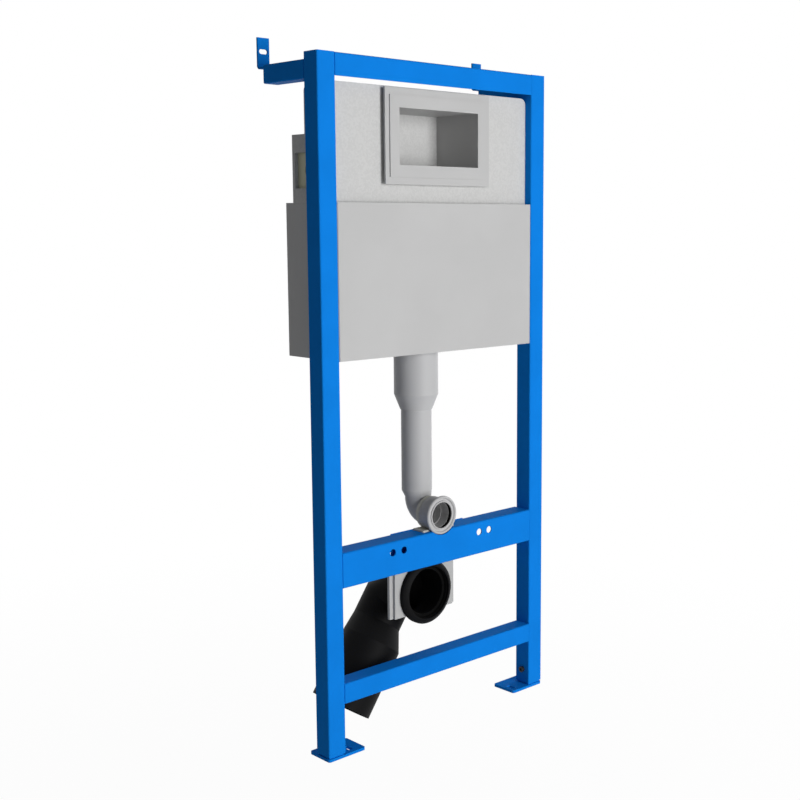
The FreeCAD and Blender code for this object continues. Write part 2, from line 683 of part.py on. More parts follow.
def cistern_shell():
    """Foam: a tall front part, a lower back and a valve housing behind the opening."""
    body = new_body("cistern_shell")
    front_part = new_sketch(body, "front_part", TO_THE_BACK, "ShellFront")
    outline(front_part, [
        ("CisternLeft", "TankTop"),
        ("CisternRight", "TankTop"),
        ("CisternRight", "ShellTop", "ShellCorner"),
        ("CisternLeft", "ShellTop", "ShellCorner"),
    ])
    pad(front_part, "ShellStep - ShellFront")
    back_part = new_sketch(body, "back_part", UPWARDS, "TankTop")
    outline(back_part, [
        ("CisternLeft", "ShellStep"),
        ("CisternRight", "ShellStep"),
        ("CisternRight", "ShellBack", "ShellEdge"),
        ("CisternLeft", "ShellBack", "ShellEdge"),
    ])
    pad(back_part, "ShellShoulder - TankTop")
    housing = new_sketch(body, "valve_housing", UPWARDS, "ShellShoulder")
    reach = "(OpeningWidth / 2 + HousingSide)"
    outline(housing, [
        (f"Middle - {reach}", "ShellStep"),
        (f"Middle + {reach}", "ShellStep"),
        (f"Middle + {reach}", "ShellBack", "ShellEdge"),
        (f"Middle - {reach}", "ShellBack", "ShellEdge"),
    ])
    pad(housing, "HousingTop - ShellShoulder")
    access = new_sketch(body, "access_recess", TO_THE_BACK, "ShellFront")
    duct_rectangle(access, "DuctWall + DuctClearance")
    pocket(access, "OpeningDepth - ShellFront")
    for side, start in (("left", "CisternLeft"), ("right", "CisternRight - InletDepth")):
        recess = new_sketch(body, f"{side}_inlet_recess", TO_THE_RIGHT, start)
        rectangle(recess, "InletFront", "InletBottom", "InletBack", "InletTop")
        pocket(recess, "InletDepth")
    return body


def access_flange():
    """A thin lip round the opening, on a plinth that stands on the foam."""
    body = new_body("access_flange")
    room = "DuctWall + DuctClearance"
    lip = new_sketch(body, "lip", TO_THE_BACK, "FlangeFront")
    rim_rectangle(lip, "FrameRim + FlangeSide", "FrameRim + FlangeRise")
    duct_rectangle(lip, room)
    pad(lip, "FlangeThickness")
    plinth = new_sketch(body, "plinth", TO_THE_BACK, "FlangeBack")
    rim_rectangle(plinth, "FrameRim", "FrameRim")
    duct_rectangle(plinth, room)
    pad(plinth, "ShellFront - FlangeBack")
    return body


def access_frame():
    """The frame round the opening, with the duct that lines it to the back."""
    body = new_body("access_frame")
    frame = new_sketch(body, "frame", TO_THE_BACK, "FrameFront")
    rim_rectangle(frame, "FrameRim", "FrameRim")
    duct_rectangle(frame)
    pad(frame, "FlangeStep")
    duct = new_sketch(body, "duct", TO_THE_BACK, "FlangeFront")
    duct_rectangle(duct, "DuctWall")
    duct_rectangle(duct)
    pad(duct, "OpeningDepth - FlangeFront")
    return body


def inlet_insert(label, block_start, rim_start, has_bore):
    """The insert that fills an inlet recess, with a round rim and the bore for the water."""
    body = new_body(label)
    depth = "(InletFront + InletBack) / 2"
    height = "(InletBottom + InletTop) / 2"
    thickness = "InletDepth - InsertInset"
    block = new_sketch(body, "block", TO_THE_RIGHT, block_start)
    rectangle(
        block,
        "InletFront + InsertGap", "InletBottom + InsertGap",
        "InletBack - InsertGap", "InletTop - InsertGap",
    )
    pad(block, thickness)
    rim = new_sketch(body, "rim", TO_THE_RIGHT, rim_start)
    circle(rim, depth, height, "InletBore / 2 + InletRim")
    pad(rim, "InletRim")
    if has_bore:
        bore = new_sketch(body, "bore", TO_THE_RIGHT, rim_start)
        circle(bore, depth, height, "InletBore / 2")
        pocket(bore, f"{thickness} + InletRim - InletFloor")
    return body


# Flush pipe
def turned_upright(body, name, corners):
    """A ring about the flush pipe's upright axis, from radius and height corners."""
    sketch = new_sketch(body, name, TO_THE_RIGHT, "Middle", across="PipeDepth")
    polygon(sketch, corners)
    revolve(sketch, "V_Axis")


def turned_level(body, name, height, corners):
    """A ring about a level axis to the back, from depth and radius corners."""
    sketch = new_sketch(body, name, TO_THE_RIGHT, "Middle", up=height)
    polygon(sketch, corners)
    revolve(sketch, "H_Axis")


def bend_path(body, name, bend, corner_of, **start):
    """Straight runs that turn a quarter circle, each touching the arc of the bend."""
    path = new_sketch(body, name, TO_THE_RIGHT, **start)
    half = QUARTER_TURN / BEND_CUTS / 2
    corners = [("0", "0")]
    for cut in range(BEND_CUTS):
        angle = half * (2 * cut + 1)
        ahead = f"{bend} / cos({half}) * sin({angle})"
        aside = f"({bend} - {bend} / cos({half}) * cos({angle}))"
        corners.append(corner_of(ahead, aside))
    corners.append(corner_of(bend, bend))
    polygon(path, corners, closed=False)
    return path


def swept(section, path):
    """Sweeps a section along a path, with mitred corners."""
    body = section.getParentGeoFeatureGroup()
    pipe = body.newObject("PartDesign::AdditivePipe", f"{section.Name}_swept")
    pipe.Profile = section
    pipe.Spine = path
    pipe.Transition = "Right corner"


def flush_socket():
    """A wide socket under the tank, with a cone down to the pipe."""
    body = new_body("flush_socket")
    neck = "PipeDiameter / 2 + FitClearance"
    turned_upright(body, "wall", [
        (neck, "ConeBottom"),
        (f"{neck} + SocketLip", "ConeBottom"),
        ("SocketRadius", "ConeTop"),
        ("SocketRadius", "TankBottom"),
        ("SocketRadius - SocketWall", "TankBottom"),
        ("SocketRadius - SocketWall", "ConeTop"),
        (neck, "ConeBottom + SocketWall"),
    ])
    return body


def flush_pipe():
    body = new_body("flush_pipe")
    turned_upright(body, "wall", [
        ("PipeDiameter / 2 - PipeWall", "PipeBottom"),
        ("PipeDiameter / 2", "PipeBottom"),
        ("PipeDiameter / 2", "PipeTop"),
        ("PipeDiameter / 2 - PipeWall", "PipeTop"),
    ])
    return body


def flush_elbow():
    """A spigot in the pipe, a shoulder, a quarter bend and a straight end to the front."""
    body = new_body("flush_elbow")
    path = bend_path(
        body, "bend_path", "ElbowBend", lambda ahead, aside: (f"-{aside}", f"-{ahead}"),
        at="Middle", across="PipeDepth", up="BendTop",
    )
    bend = new_sketch(body, "bend", UPWARDS, "BendTop")
    circle(bend, "Middle", "PipeDepth", "ElbowRadius")
    circle(bend, "Middle", "PipeDepth", "ElbowBore")
    swept(bend, path)
    level = new_sketch(body, "level_end", TO_THE_BACK, "SleeveEnd")
    circle(level, "Middle", "OutletHeight", "ElbowRadius")
    circle(level, "Middle", "OutletHeight", "ElbowBore")
    pad(level, "PipeDepth - ElbowBend - SleeveEnd")
    spigot = "PipeDiameter / 2 - PipeWall - FitClearance"
    turned_upright(body, "shoulder", [
        ("ElbowBore", "BendTop"),
        ("ElbowRadius", "BendTop"),
        ("ElbowRadius", "ShoulderBottom"),
        ("PipeDiameter / 2", "PipeBottom"),
        (spigot, "PipeBottom"),
        (spigot, "PipeBottom + ElbowSpigot"),
        ("ElbowBore", "PipeBottom + ElbowSpigot"),
    ])
    return body


def outlet_sleeve():
    """The straight mouth of the flush outlet, inside the ring and the collar."""
    body = new_body("outlet_sleeve")
    turned_level(body, "wall", "OutletHeight", [
        ("OutletInset", "ElbowBore"),
        ("OutletInset", "ElbowRadius"),
        ("SleeveEnd", "ElbowRadius"),
        ("SleeveEnd", "ElbowBore"),
    ])
    return body


def outlet_ring():
    """The round flange at the front of the outlet."""
    body = new_body("outlet_ring")
    turned_level(body, "wall", "OutletHeight", [
        ("0", "ElbowFit"),
        ("0", "RingRadius - RingEdge"),
        ("RingEdge", "RingRadius"),
        ("RingThickness", "RingRadius"),
        ("RingThickness", "ElbowFit"),
    ])
    return body


def outlet_collar():
    body = new_body("outlet_collar")
    turned_level(body, "wall", "OutletHeight", [
        ("RingThickness", "ElbowFit"),
        ("RingThickness", "CollarRadius"),
        ("CollarBack - RingEdge", "CollarRadius"),
        ("CollarBack", "CollarRadius - RingEdge"),
        ("CollarBack", "ElbowFit"),
    ])
    return body


def pipe_clip():
    """A foot on the cross rail with an arch round the elbow."""
    body = new_body("pipe_clip")
    foot = new_sketch(body, "foot", UPWARDS, "CrossRailTop")
    rectangle(
        foot, "Middle - ClipWidth / 2", "ClipFront", "Middle + ClipWidth / 2", "ClipFoot", "ClipThickness"
    )
    pad(foot, "ClipThickness")
    arch = new_sketch(body, "arch", TO_THE_BACK, "CollarBack + NotchClearance")
    arch_outline(arch)
    pad(arch, "ClipFoot - CollarBack - NotchClearance")
    outlet_room(body, "collar_room")
    bore = new_sketch(body, "bore", TO_THE_BACK, "CollarBack")
    circle(bore, "Middle", "OutletHeight", "ElbowFit")
    pocket(bore, "PipeDepth - CollarBack")
    return body


def arch_outline(sketch):
    """A round arch that stands on the cross rail and follows the elbow's clip rim."""
    radius = "ElbowRadius + ClipRim"
    centre = Vector(value("Middle"), value("OutletHeight"), 0)
    drop = value("OutletRise")
    half = math.sqrt(value(radius) ** 2 - drop ** 2)
    right = centre + Vector(half, -drop, 0)
    left = centre + Vector(-half, -drop, 0)
    from_angle = math.atan2(-drop, half)
    over = Part.Circle(centre, OUT_OF_SKETCH, value(radius))
    arc = sketch.addGeometry(Part.ArcOfCircle(over, from_angle, math.pi - from_angle))
    base = sketch.addGeometry(Part.LineSegment(left, right))
    sketch.addConstraint(Sketcher.Constraint("Coincident", arc, END, base, START))
    sketch.addConstraint(Sketcher.Constraint("Coincident", base, END, arc, START))
    sketch.addConstraint(Sketcher.Constraint("Horizontal", base))
    at_up(sketch, base, START, "CrossRailTop")
    at_across(sketch, arc, CENTRE, "Middle")
    at_up(sketch, arc, CENTRE, "OutletHeight")
    dimension(sketch, "Radius", (arc,), radius)


# Drain
def drain_carrier():
    """An angle behind the cross rail that carries the drain clamps."""
    body = new_body("drain_carrier")
    sketch = new_sketch(body, "section", TO_THE_RIGHT, "Middle - CarrierWidth / 2")
    back = "ClampFront + 2 * ClampThickness"
    outline(sketch, [
        ("CrossRailDepth", "CarrierBottom", "BendRadius + CarrierThickness"),
        (back, "CarrierBottom"),
        (back, "CarrierBottom + CarrierThickness"),
        ("CrossRailDepth + CarrierThickness", "CarrierBottom + CarrierThickness", "BendRadius"),
        ("CrossRailDepth + CarrierThickness", "CarrierTop"),
        ("CrossRailDepth", "CarrierTop"),
    ])
    pad(sketch, "CarrierWidth")
    return body


def drain_clamp(label, front, width):
    """A plate with an open seat for the drain, hung from the carrier."""
    body = new_body(label)
    plate = new_sketch(body, "plate", TO_THE_BACK, front)
    rectangle(plate, f"Middle - {width} / 2", "ClampBottom", f"Middle + {width} / 2", "CarrierBottom")
    pad(plate, "ClampThickness")
    seat = new_sketch(body, "seat", TO_THE_BACK, front)
    circle(seat, "Middle", "DrainHeight", "DrainRadius + ClampClearance")
    pocket(seat, "ClampThickness")
    return body


def drain_socket():
    """The chamfered lip that takes the pan's outlet, with a sleeve inside the bend."""
    body = new_body("drain_socket")
    turned_level(body, "wall", "DrainHeight", [
        ("LipFront", "SealSeat"),
        ("LipFront", "LipMouth"),
        ("LipFront + LipChamfer", "LipRadius"),
        ("ClampFront", "LipRadius"),
        ("ClampFront", "SleeveRadius"),
        ("DrainBendStart", "SleeveRadius"),
        ("DrainBendStart", "SleeveRadius - DrainWall"),
        ("SealBack", "SleeveRadius - DrainWall"),
        ("SealBack", "SealSeat"),
    ])
    return body


def drain_seal():
    """A rubber ring with a tapered inner lip."""
    body = new_body("drain_seal")
    turned_level(body, "ring", "DrainHeight", [
        ("SealStart", "SealSeat - SealFit - SealHeight / 4"),
        ("SealStart", "SealSeat - SealFit"),
        ("SealBack", "SealSeat - SealFit"),
        ("SealBack", "SealSeat - SealFit - SealHeight"),
        ("SealBack - SealLength / 4", "SealSeat - SealFit - SealHeight"),
    ])
    return body


def fall_with_the_drain(body):
    """Tilts a drain piece about the socket's axis, so that its falling part slopes."""
    body.setExpression("Placement.Base.x", bound("Middle - ArmWidth / 2"))
    body.setExpression("Placement.Base.z", bound("DrainHeight - FrameHeight"))
    body.setExpression("Placement.Rotation.Axis.x", "0")
    body.setExpression("Placement.Rotation.Axis.y", "1")
    body.setExpression("Placement.Rotation.Axis.z", "0")
    body.setExpression("Placement.Rotation.Angle", bound("DrainTilt"))


def drain_bend():
    """A stub through the clamps, a quarter bend and a short neck."""
    body = new_body("drain_bend")
    fall_with_the_drain(body)
    path = bend_path(
        body, "bend_path", "DrainBendRadius", lambda ahead, aside: (ahead, f"-{aside}"),
        at="0", across="DrainBendStart",
    )
    bend = new_sketch(body, "bend", TO_THE_BACK, "DrainBendStart")
    circle(bend, "0", "0", "DrainRadius")
    circle(bend, "0", "0", "DrainBore")
    swept(bend, path)
    stub = new_sketch(body, "stub", TO_THE_BACK, "ClampFront")
    circle(stub, "0", "0", "DrainRadius")
    circle(stub, "0", "0", "DrainBore")
    pad(stub, "DrainStub")
    neck = new_sketch(body, "neck", UPWARDS, "-NeckEnd", up="DrainDepth")
    circle(neck, "0", "0", "DrainRadius")
    circle(neck, "0", "0", "DrainBore")
    pad(neck, "DrainNeck")
    return body


def drain_reducer():
    """A spigot in the bend's neck, a cone and the wide lower end."""
    body = new_body("drain_reducer")
    fall_with_the_drain(body)
    wide_bore = "ReducerDiameter / 2 - DrainWall"
    wall = new_sketch(body, "wall", TO_THE_RIGHT, "0", across="DrainDepth")
    polygon(wall, [
        ("SleeveRadius - DrainWall", "-NeckEnd + ReducerSpigot"),
        ("SleeveRadius", "-NeckEnd + ReducerSpigot"),
        ("SleeveRadius", "-NeckEnd"),
        ("DrainRadius", "-NeckEnd"),
        ("ReducerDiameter / 2", "-ConeEnd"),
        ("ReducerDiameter / 2", "-DrainEnd"),
        (wide_bore, "-DrainEnd"),
        (wide_bore, "-ConeEnd"),
        ("SleeveRadius - DrainWall", "-NeckEnd"),
    ])
    revolve(wall, "V_Axis")
    return body


parts = [
    post("left_post", "0", "PostWidth - PostWall"),
    post("right_post", "RightPost", "RightPost"),
    post_cap("left_post_cap", "0"),
    post_cap("right_post_cap", "RightPost"),
    top_rail(),
    cross_rail(),
    low_rail(),
    wall_arm("left_wall_arm", "0"),
    wall_arm("right_wall_arm", "RightArm"),
    wall_bracket("left_wall_bracket", "ArmWidth / 2"),
    wall_bracket("right_wall_bracket", "RightArm + ArmWidth / 2"),
    leg("left_leg", "0"),
    leg("right_leg", "RightPost"),
    foot_plate("left_foot_plate", "0", "FootLength - LeftSlotInset"),
    foot_plate("right_foot_plate", "FrameWidth - FootLength", "FrameWidth - FootLength + RightSlotInset"),
    clamp_screw(
        "left_clamp_screw",
        "PostWidth - PostWall", "PostWidth", "PostWidth + ScrewHeadLength - ScrewSocketDepth",
    ),
    clamp_screw(
        "right_clamp_screw", "RightPost", "RightPost - ScrewHeadLength", "RightPost - ScrewHeadLength"
    ),
    cistern_tank(),
    cistern_shell(),
    access_flange(),
    access_frame(),
    inlet_insert(
        "left_water_inlet", "CisternLeft + InsertInset", "CisternLeft + InsertInset - InletRim", True
    ),
    inlet_insert("right_inlet_blank", "CisternRight - InletDepth", "CisternRight - InsertInset", False),
    flush_socket(),
    flush_pipe(),
    flush_elbow(),
    outlet_sleeve(),
    outlet_ring(),
    outlet_collar(),
    pipe_clip(),
    drain_carrier(),
    drain_clamp("front_drain_clamp", "ClampFront", "FrontClampWidth"),
    drain_clamp("back_drain_clamp", "ClampFront + ClampThickness", "BackClampWidth"),
    drain_socket(),
    drain_seal(),
    drain_bend(),
    drain_reducer(),
]

document.recompute()
for item in document.Objects:
    if "Invalid" in item.State or "Error" in item.State:
        raise RuntimeError(f"{item.Name} failed: {item.State}")
for part in parts:
    if part.Shape.isNull() or not part.Shape.isValid():
        raise RuntimeError(f"{part.Label} has no valid shape")

os.makedirs("parts", exist_ok=True)
for part in parts:
    part.Shape.exportStep(f"parts/{part.Label}.step")
    print(part.Label, len(part.Shape.Solids), round(part.Shape.Volume))
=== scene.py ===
import json
import math

import bpy
from mathutils import Matrix, Vector


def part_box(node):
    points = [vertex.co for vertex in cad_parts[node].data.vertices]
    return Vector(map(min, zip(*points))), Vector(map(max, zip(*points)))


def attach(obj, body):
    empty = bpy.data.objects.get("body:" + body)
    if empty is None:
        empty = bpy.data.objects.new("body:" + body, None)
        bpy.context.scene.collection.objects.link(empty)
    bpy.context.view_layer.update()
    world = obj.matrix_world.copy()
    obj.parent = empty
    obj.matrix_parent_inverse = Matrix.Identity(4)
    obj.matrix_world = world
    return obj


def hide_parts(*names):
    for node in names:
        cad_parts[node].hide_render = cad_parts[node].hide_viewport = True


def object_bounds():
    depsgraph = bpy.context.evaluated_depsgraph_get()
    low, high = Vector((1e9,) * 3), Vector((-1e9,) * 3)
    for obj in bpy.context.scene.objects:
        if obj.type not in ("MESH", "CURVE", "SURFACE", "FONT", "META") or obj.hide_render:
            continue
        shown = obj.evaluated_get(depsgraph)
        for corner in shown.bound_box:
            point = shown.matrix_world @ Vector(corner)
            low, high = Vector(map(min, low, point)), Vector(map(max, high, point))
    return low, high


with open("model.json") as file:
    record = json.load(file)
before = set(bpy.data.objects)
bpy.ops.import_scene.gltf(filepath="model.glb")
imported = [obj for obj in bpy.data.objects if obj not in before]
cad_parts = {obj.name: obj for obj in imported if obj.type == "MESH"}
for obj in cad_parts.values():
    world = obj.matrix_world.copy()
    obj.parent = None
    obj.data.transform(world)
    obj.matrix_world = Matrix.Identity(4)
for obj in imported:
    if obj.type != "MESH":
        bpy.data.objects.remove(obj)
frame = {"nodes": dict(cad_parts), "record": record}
cad_low, cad_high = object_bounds()

MM = 0.001
IMAGE_SIDE = 800
LEFT, FRONT, BELOW = Vector((-1, 0, 0)), Vector((0, -1, 0)), Vector((0, 0, -1))
RIGHT, BACK, ABOVE = -LEFT, -FRONT, -BELOW

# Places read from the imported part
floor_level = cad_low.z
posts_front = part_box("left_post")[0].y
pipe_low, pipe_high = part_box("flush_pipe")
ring_low, ring_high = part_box("outlet_ring")
sleeve_low, sleeve_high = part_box("outlet_sleeve")
collar_low, collar_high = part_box("outlet_collar")
elbow_low, elbow_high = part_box("flush_elbow")
socket_low, socket_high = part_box("drain_socket")
clamp_low, clamp_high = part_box("front_drain_clamp")
back_clamp_low, back_clamp_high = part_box("back_drain_clamp")
seal_low, seal_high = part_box("drain_seal")

middle_x = (pipe_low.x + pipe_high.x) / 2
pipe_y = (pipe_low.y + pipe_high.y) / 2
pipe_radius = (pipe_high.x - pipe_low.x) / 2
outlet_z = (ring_low.z + ring_high.z) / 2
drain_z = (socket_low.z + socket_high.z) / 2

# Sizes of the pieces made here
ELBOW_WALL = 2.2 * MM
ELBOW_BEND = 24.5 * MM
ELBOW_LIP = 2 * MM
ELBOW_LIP_SHARE = 0.985
ELBOW_SHOULDER = 10 * MM
ELBOW_FORWARD = 3.5 * MM
ELBOW_RADIUS = 23.6 * MM
SEAT_GAP = 0.2 * MM
RING_GROOVE = 3.2 * MM
OUTLET_BORE = 23 * MM
LIP_START = 2 * MM
CLIP_REACH = 37 * MM
CLIP_END = 4 * MM
CLIP_EASE = 0.3 * MM
LIP_END = 8.8 * MM
DRAIN_RADIUS = 45 * MM
DRAIN_WALL = 3 * MM
DRAIN_STUB = 20 * MM
DRAIN_BEND = 60 * MM
DRAIN_NECK = 19 * MM
DRAIN_CUTS = 2
DRAIN_END = 241 * MM
REDUCER_CONE = 37 * MM
REDUCER_RADIUS = 55 * MM
SLEEVE_RADIUS = 41.8 * MM
MOUTH_FORWARD = 4.5 * MM
MOUTH_DEPTH = 11 * MM
MOUTH_BORE = 47.5 * MM
MOUTH_RADIUS = 58 * MM
SEAL_RIBS = 3
SEAL_PITCH = 1.9 * MM
SEAL_WALL = 0.5 * MM
SEAL_HEIGHT = 0.7 * MM
SOCKET_WALL = 0.8 * MM
MITRE_ANGLE = math.radians(12)
DRAIN_TILT = math.radians(35.3)
ROUND = 96
HEX_EASE = 0.6 * MM
BOLT_RADIUS = 4 * MM
BOLT_FLATS = 13 * MM
BOLT_HEAD = 5.3 * MM
BOLT_NUT = 6.5 * MM
BOLT_OFFSET = 58 * MM
BOLT_DROP = 12 * MM
WASHER_RADIUS = 8 * MM
WASHER_THICKNESS = 1.6 * MM
THREAD_PITCH = 1.25 * MM
THREAD_DEPTH = 0.6 * MM
THREAD_TURNS = 5
SHEET = 2 * MM
WELD_INSET = 4 * MM
WELD_RADIUS = 2.4 * MM
WELD_WAIST = 0.88
WELD_TIP = 0.8 * MM
WELD_RIPPLE = 2.2 * MM
WELD_OFFSET = 1.5 * MM
LEG_TRAVEL = 200 * MM
INLET_BORE = 9.5 * MM
INLET_DEPTH = 17 * MM
INLET_PITCH = 1.8 * MM
BEND_STEPS = 24
SMOOTH_ANGLE = math.radians(40)


# Modelling steps
def deselect():
    """Leaves edit mode and selects nothing."""
    if bpy.context.object and bpy.context.object.mode != "OBJECT":
        bpy.ops.object.mode_set(mode="OBJECT")
    bpy.ops.object.select_all(action="DESELECT")


def edit(piece):
    """Opens a piece in edit mode with nothing else selected."""
    deselect()
    piece.select_set(True)
    bpy.context.view_layer.objects.active = piece
    bpy.ops.object.mode_set(mode="EDIT")


def apply(piece, kind, **settings):
    """Adds a modifier and applies it."""
    deselect()
    piece.select_set(True)
    bpy.context.view_layer.objects.active = piece
    modifier = piece.modifiers.new(kind.title(), kind)
    for name, value in settings.items():
        setattr(modifier, name, value)
    bpy.ops.object.modifier_apply(modifier=modifier.name)


def settle(piece, smooth=SMOOTH_ANGLE):
    """Puts the piece's place into its mesh and smooths its round faces."""
    deselect()
    piece.select_set(True)
    bpy.context.view_layer.objects.active = piece
    bpy.ops.object.transform_apply(location=True, rotation=True, scale=True)
    bpy.ops.object.shade_smooth_by_angle(angle=smooth)


def close_and_face_out(piece):
    """Merges seams and turns every face outwards."""
    edit(piece)
    bpy.ops.mesh.select_all(action="SELECT")
    bpy.ops.mesh.remove_doubles(threshold=0.01 * MM)
    bpy.ops.mesh.normals_make_consistent(inside=False)
    deselect()


def open_circle(name, centre, facing, radius, sides=ROUND):
    """A circle of edges, open for editing, with all of it selected."""
    deselect()
    turn = facing.to_track_quat("Z", "Y").to_euler()
    bpy.ops.mesh.primitive_circle_add(vertices=sides, radius=radius, location=centre, rotation=turn)
    piece = bpy.context.object
    piece.name = name
    piece.data.name = name
    bpy.ops.object.transform_apply(location=True, rotation=True, scale=True)
    edit(piece)
    bpy.ops.mesh.select_all(action="SELECT")
    return piece


def draw_out(step, centre=None, share=1.0):
    """Extrudes the selected loop by a step, then widens or narrows it about a centre."""
    bpy.ops.mesh.extrude_region_move(TRANSFORM_OT_translate={"value": step})
    if share != 1.0:
        bpy.ops.transform.resize(value=(share, share, share), center_override=centre)


def turned(name, centre, facing, profile, sides=ROUND, joined=True):
    """A ring drawn out loop by loop: its profile gives depths along the axis and radii."""
    depth, radius = profile[0]
    start = centre + facing * depth
    piece = open_circle(name, start, facing, radius, sides)
    for next_depth, next_radius in profile[1:]:
        place = centre + facing * next_depth
        draw_out(facing * (next_depth - depth), place, next_radius / radius)
        depth, radius = next_depth, next_radius
    if joined:
        bpy.ops.mesh.select_all(action="DESELECT")
        bpy.ops.mesh.select_non_manifold(extend=False)
        bpy.ops.mesh.bridge_edge_loops()
    close_and_face_out(piece)
    settle(piece)
    return piece


def dress(piece, slot, body="frame", stands_for=None):
    """Gives a piece its finish and its body, and hides the node that it stands for."""
    piece.data.materials.clear()
    piece.data.materials.append(finishes[slot])
    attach(piece, body)
    if stands_for:
        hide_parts(stands_for)
    return piece


# Materials
def new_material(name, colour, roughness, **plain):
    """A material whose plain values stand on the shader's own sockets."""
    material = bpy.data.materials.new(name)
    material.use_nodes = True
    shader = material.node_tree.nodes["Principled BSDF"]
    shader.inputs["Base Color"].default_value = (*colour, 1)
    shader.inputs["Roughness"].default_value = roughness
    for words, value in plain.items():
        socket = words.replace("_", " ").title().replace("Ior", "IOR")
        shader.inputs[socket].default_value = value
    return material


def surface_coordinates(material, scale=(1, 1, 1)):
    """Object coordinates, stretched by a scale for each axis."""
    nodes, links = material.node_tree.nodes, material.node_tree.links
    coordinates = nodes.new("ShaderNodeTexCoord")
    mapping = nodes.new("ShaderNodeMapping")
    mapping.inputs["Scale"].default_value = scale
    links.new(coordinates.outputs["Object"], mapping.inputs["Vector"])
    return mapping.outputs["Vector"]


def noise(material, vector, scale, detail=2.0):
    texture = material.node_tree.nodes.new("ShaderNodeTexNoise")
    texture.inputs["Scale"].default_value = scale
    texture.inputs["Detail"].default_value = detail
    material.node_tree.links.new(vector, texture.inputs["Vector"])
    return texture.outputs["Fac"]


def tint(material, factor, low, high):
    """Colours the surface between two tones by a pattern."""
    nodes, links = material.node_tree.nodes, material.node_tree.links
    ramp = nodes.new("ShaderNodeValToRGB")
    ramp.color_ramp.elements[0].position = 0.35
    ramp.color_ramp.elements[1].position = 0.65
    ramp.color_ramp.elements[0].color = (*low, 1)
    ramp.color_ramp.elements[1].color = (*high, 1)
    links.new(factor, ramp.inputs["Fac"])
    links.new(ramp.outputs["Color"], nodes["Principled BSDF"].inputs["Base Color"])


def vary_roughness(material, factor, low, high):
    """Lets the gloss wander between two values."""
    nodes, links = material.node_tree.nodes, material.node_tree.links
    span = nodes.new("ShaderNodeMapRange")
    span.inputs["To Min"].default_value = low
    span.inputs["To Max"].default_value = high
    links.new(factor, span.inputs["Value"])
    links.new(span.outputs["Result"], nodes["Principled BSDF"].inputs["Roughness"])


def bump(material, height, strength, distance, under=None):
    """Raises the surface by a pattern; a second pattern may lie under it."""
    nodes, links = material.node_tree.nodes, material.node_tree.links
    relief = nodes.new("ShaderNodeBump")
    relief.inputs["Strength"].default_value = strength
    relief.inputs["Distance"].default_value = distance
    links.new(height, relief.inputs["Height"])
    if under:
        links.new(under, relief.inputs["Normal"])
    links.new(relief.outputs["Normal"], nodes["Principled BSDF"].inputs["Normal"])
    return relief.outputs["Normal"]


def shade(colour, factor):
    return tuple(channel * factor for channel in colour)


def blue_paint():
    """Satin powder coat: a fine orange peel and a cool sheen where the light strikes."""
    colour = (0.005, 0.195, 0.68)
    material = new_material(
        "blue_paint", colour, 0.48, specular_ior_level=0.01, specular_tint=(0.1, 0.9, 1.0, 1)
    )
    vector = surface_coordinates(material)
    tint(material, noise(material, vector, 14, 3), shade(colour, 0.97), shade(colour, 1.03))
    vary_roughness(material, noise(material, vector, 30, 2), 0.44, 0.52)
    bump(material, noise(material, vector, 700, 2), 0.2, 0.1 * MM)
    return material


def moulded_plastic(name, colour, roughness, grain=900, relief=0.2, variation=0.02, **plain):
    """Smooth moulding: a faint cloudiness and a fine grain."""
    material = new_material(name, colour, roughness, **plain)
    vector = surface_coordinates(material)
    tint(material, noise(material, vector, 9, 2), shade(colour, 1 - variation), shade(colour, 1 + variation))
    bump(material, noise(material, vector, grain, 2), relief, 0.08 * MM)
    return material


def bead_foam():
    """Foam of fused beads: flattened cells with fine joints between them."""
    colour = (0.54, 0.54, 0.535)
    material = new_material("bead_foam", colour, 0.8, specular_ior_level=0.2)
    nodes, links = material.node_tree.nodes, material.node_tree.links
    vector = surface_coordinates(material)
    cells = nodes.new("ShaderNodeTexVoronoi")
    cells.inputs["Scale"].default_value = 330
    links.new(vector, cells.inputs["Vector"])
    joints = nodes.new("ShaderNodeTexVoronoi")
    joints.feature = "DISTANCE_TO_EDGE"
    joints.inputs["Scale"].default_value = 330
    links.new(vector, joints.inputs["Vector"])
    tint(material, cells.outputs["Color"], shade(colour, 0.965), shade(colour, 1.03))
    widths = nodes.new("ShaderNodeMapRange")
    widths.inputs["From Max"].default_value = 0.14
    links.new(joints.outputs["Distance"], widths.inputs["Value"])
    soft = bump(material, noise(material, vector, 160, 2), 0.12, 0.5 * MM)
    bump(material, widths.outputs["Result"], 0.35, 0.2 * MM, under=soft)
    return material


def rubber():
    colour = (0.003, 0.003, 0.003)
    material = new_material("seal_rubber", colour, 0.7, specular_ior_level=0.04)
    vector = surface_coordinates(material)
    bump(material, noise(material, vector, 1200, 2), 0.3, 0.05 * MM)
    return material


def dark_steel():
    """Turned steel with fine rings round the screw's axis."""
    material = new_material("dark_steel", (0.03, 0.03, 0.033), 0.42, metallic=0.7)
    vector = surface_coordinates(material, (1, 60, 60))
    bump(material, noise(material, vector, 60, 2), 0.2, 0.05 * MM)
    return material


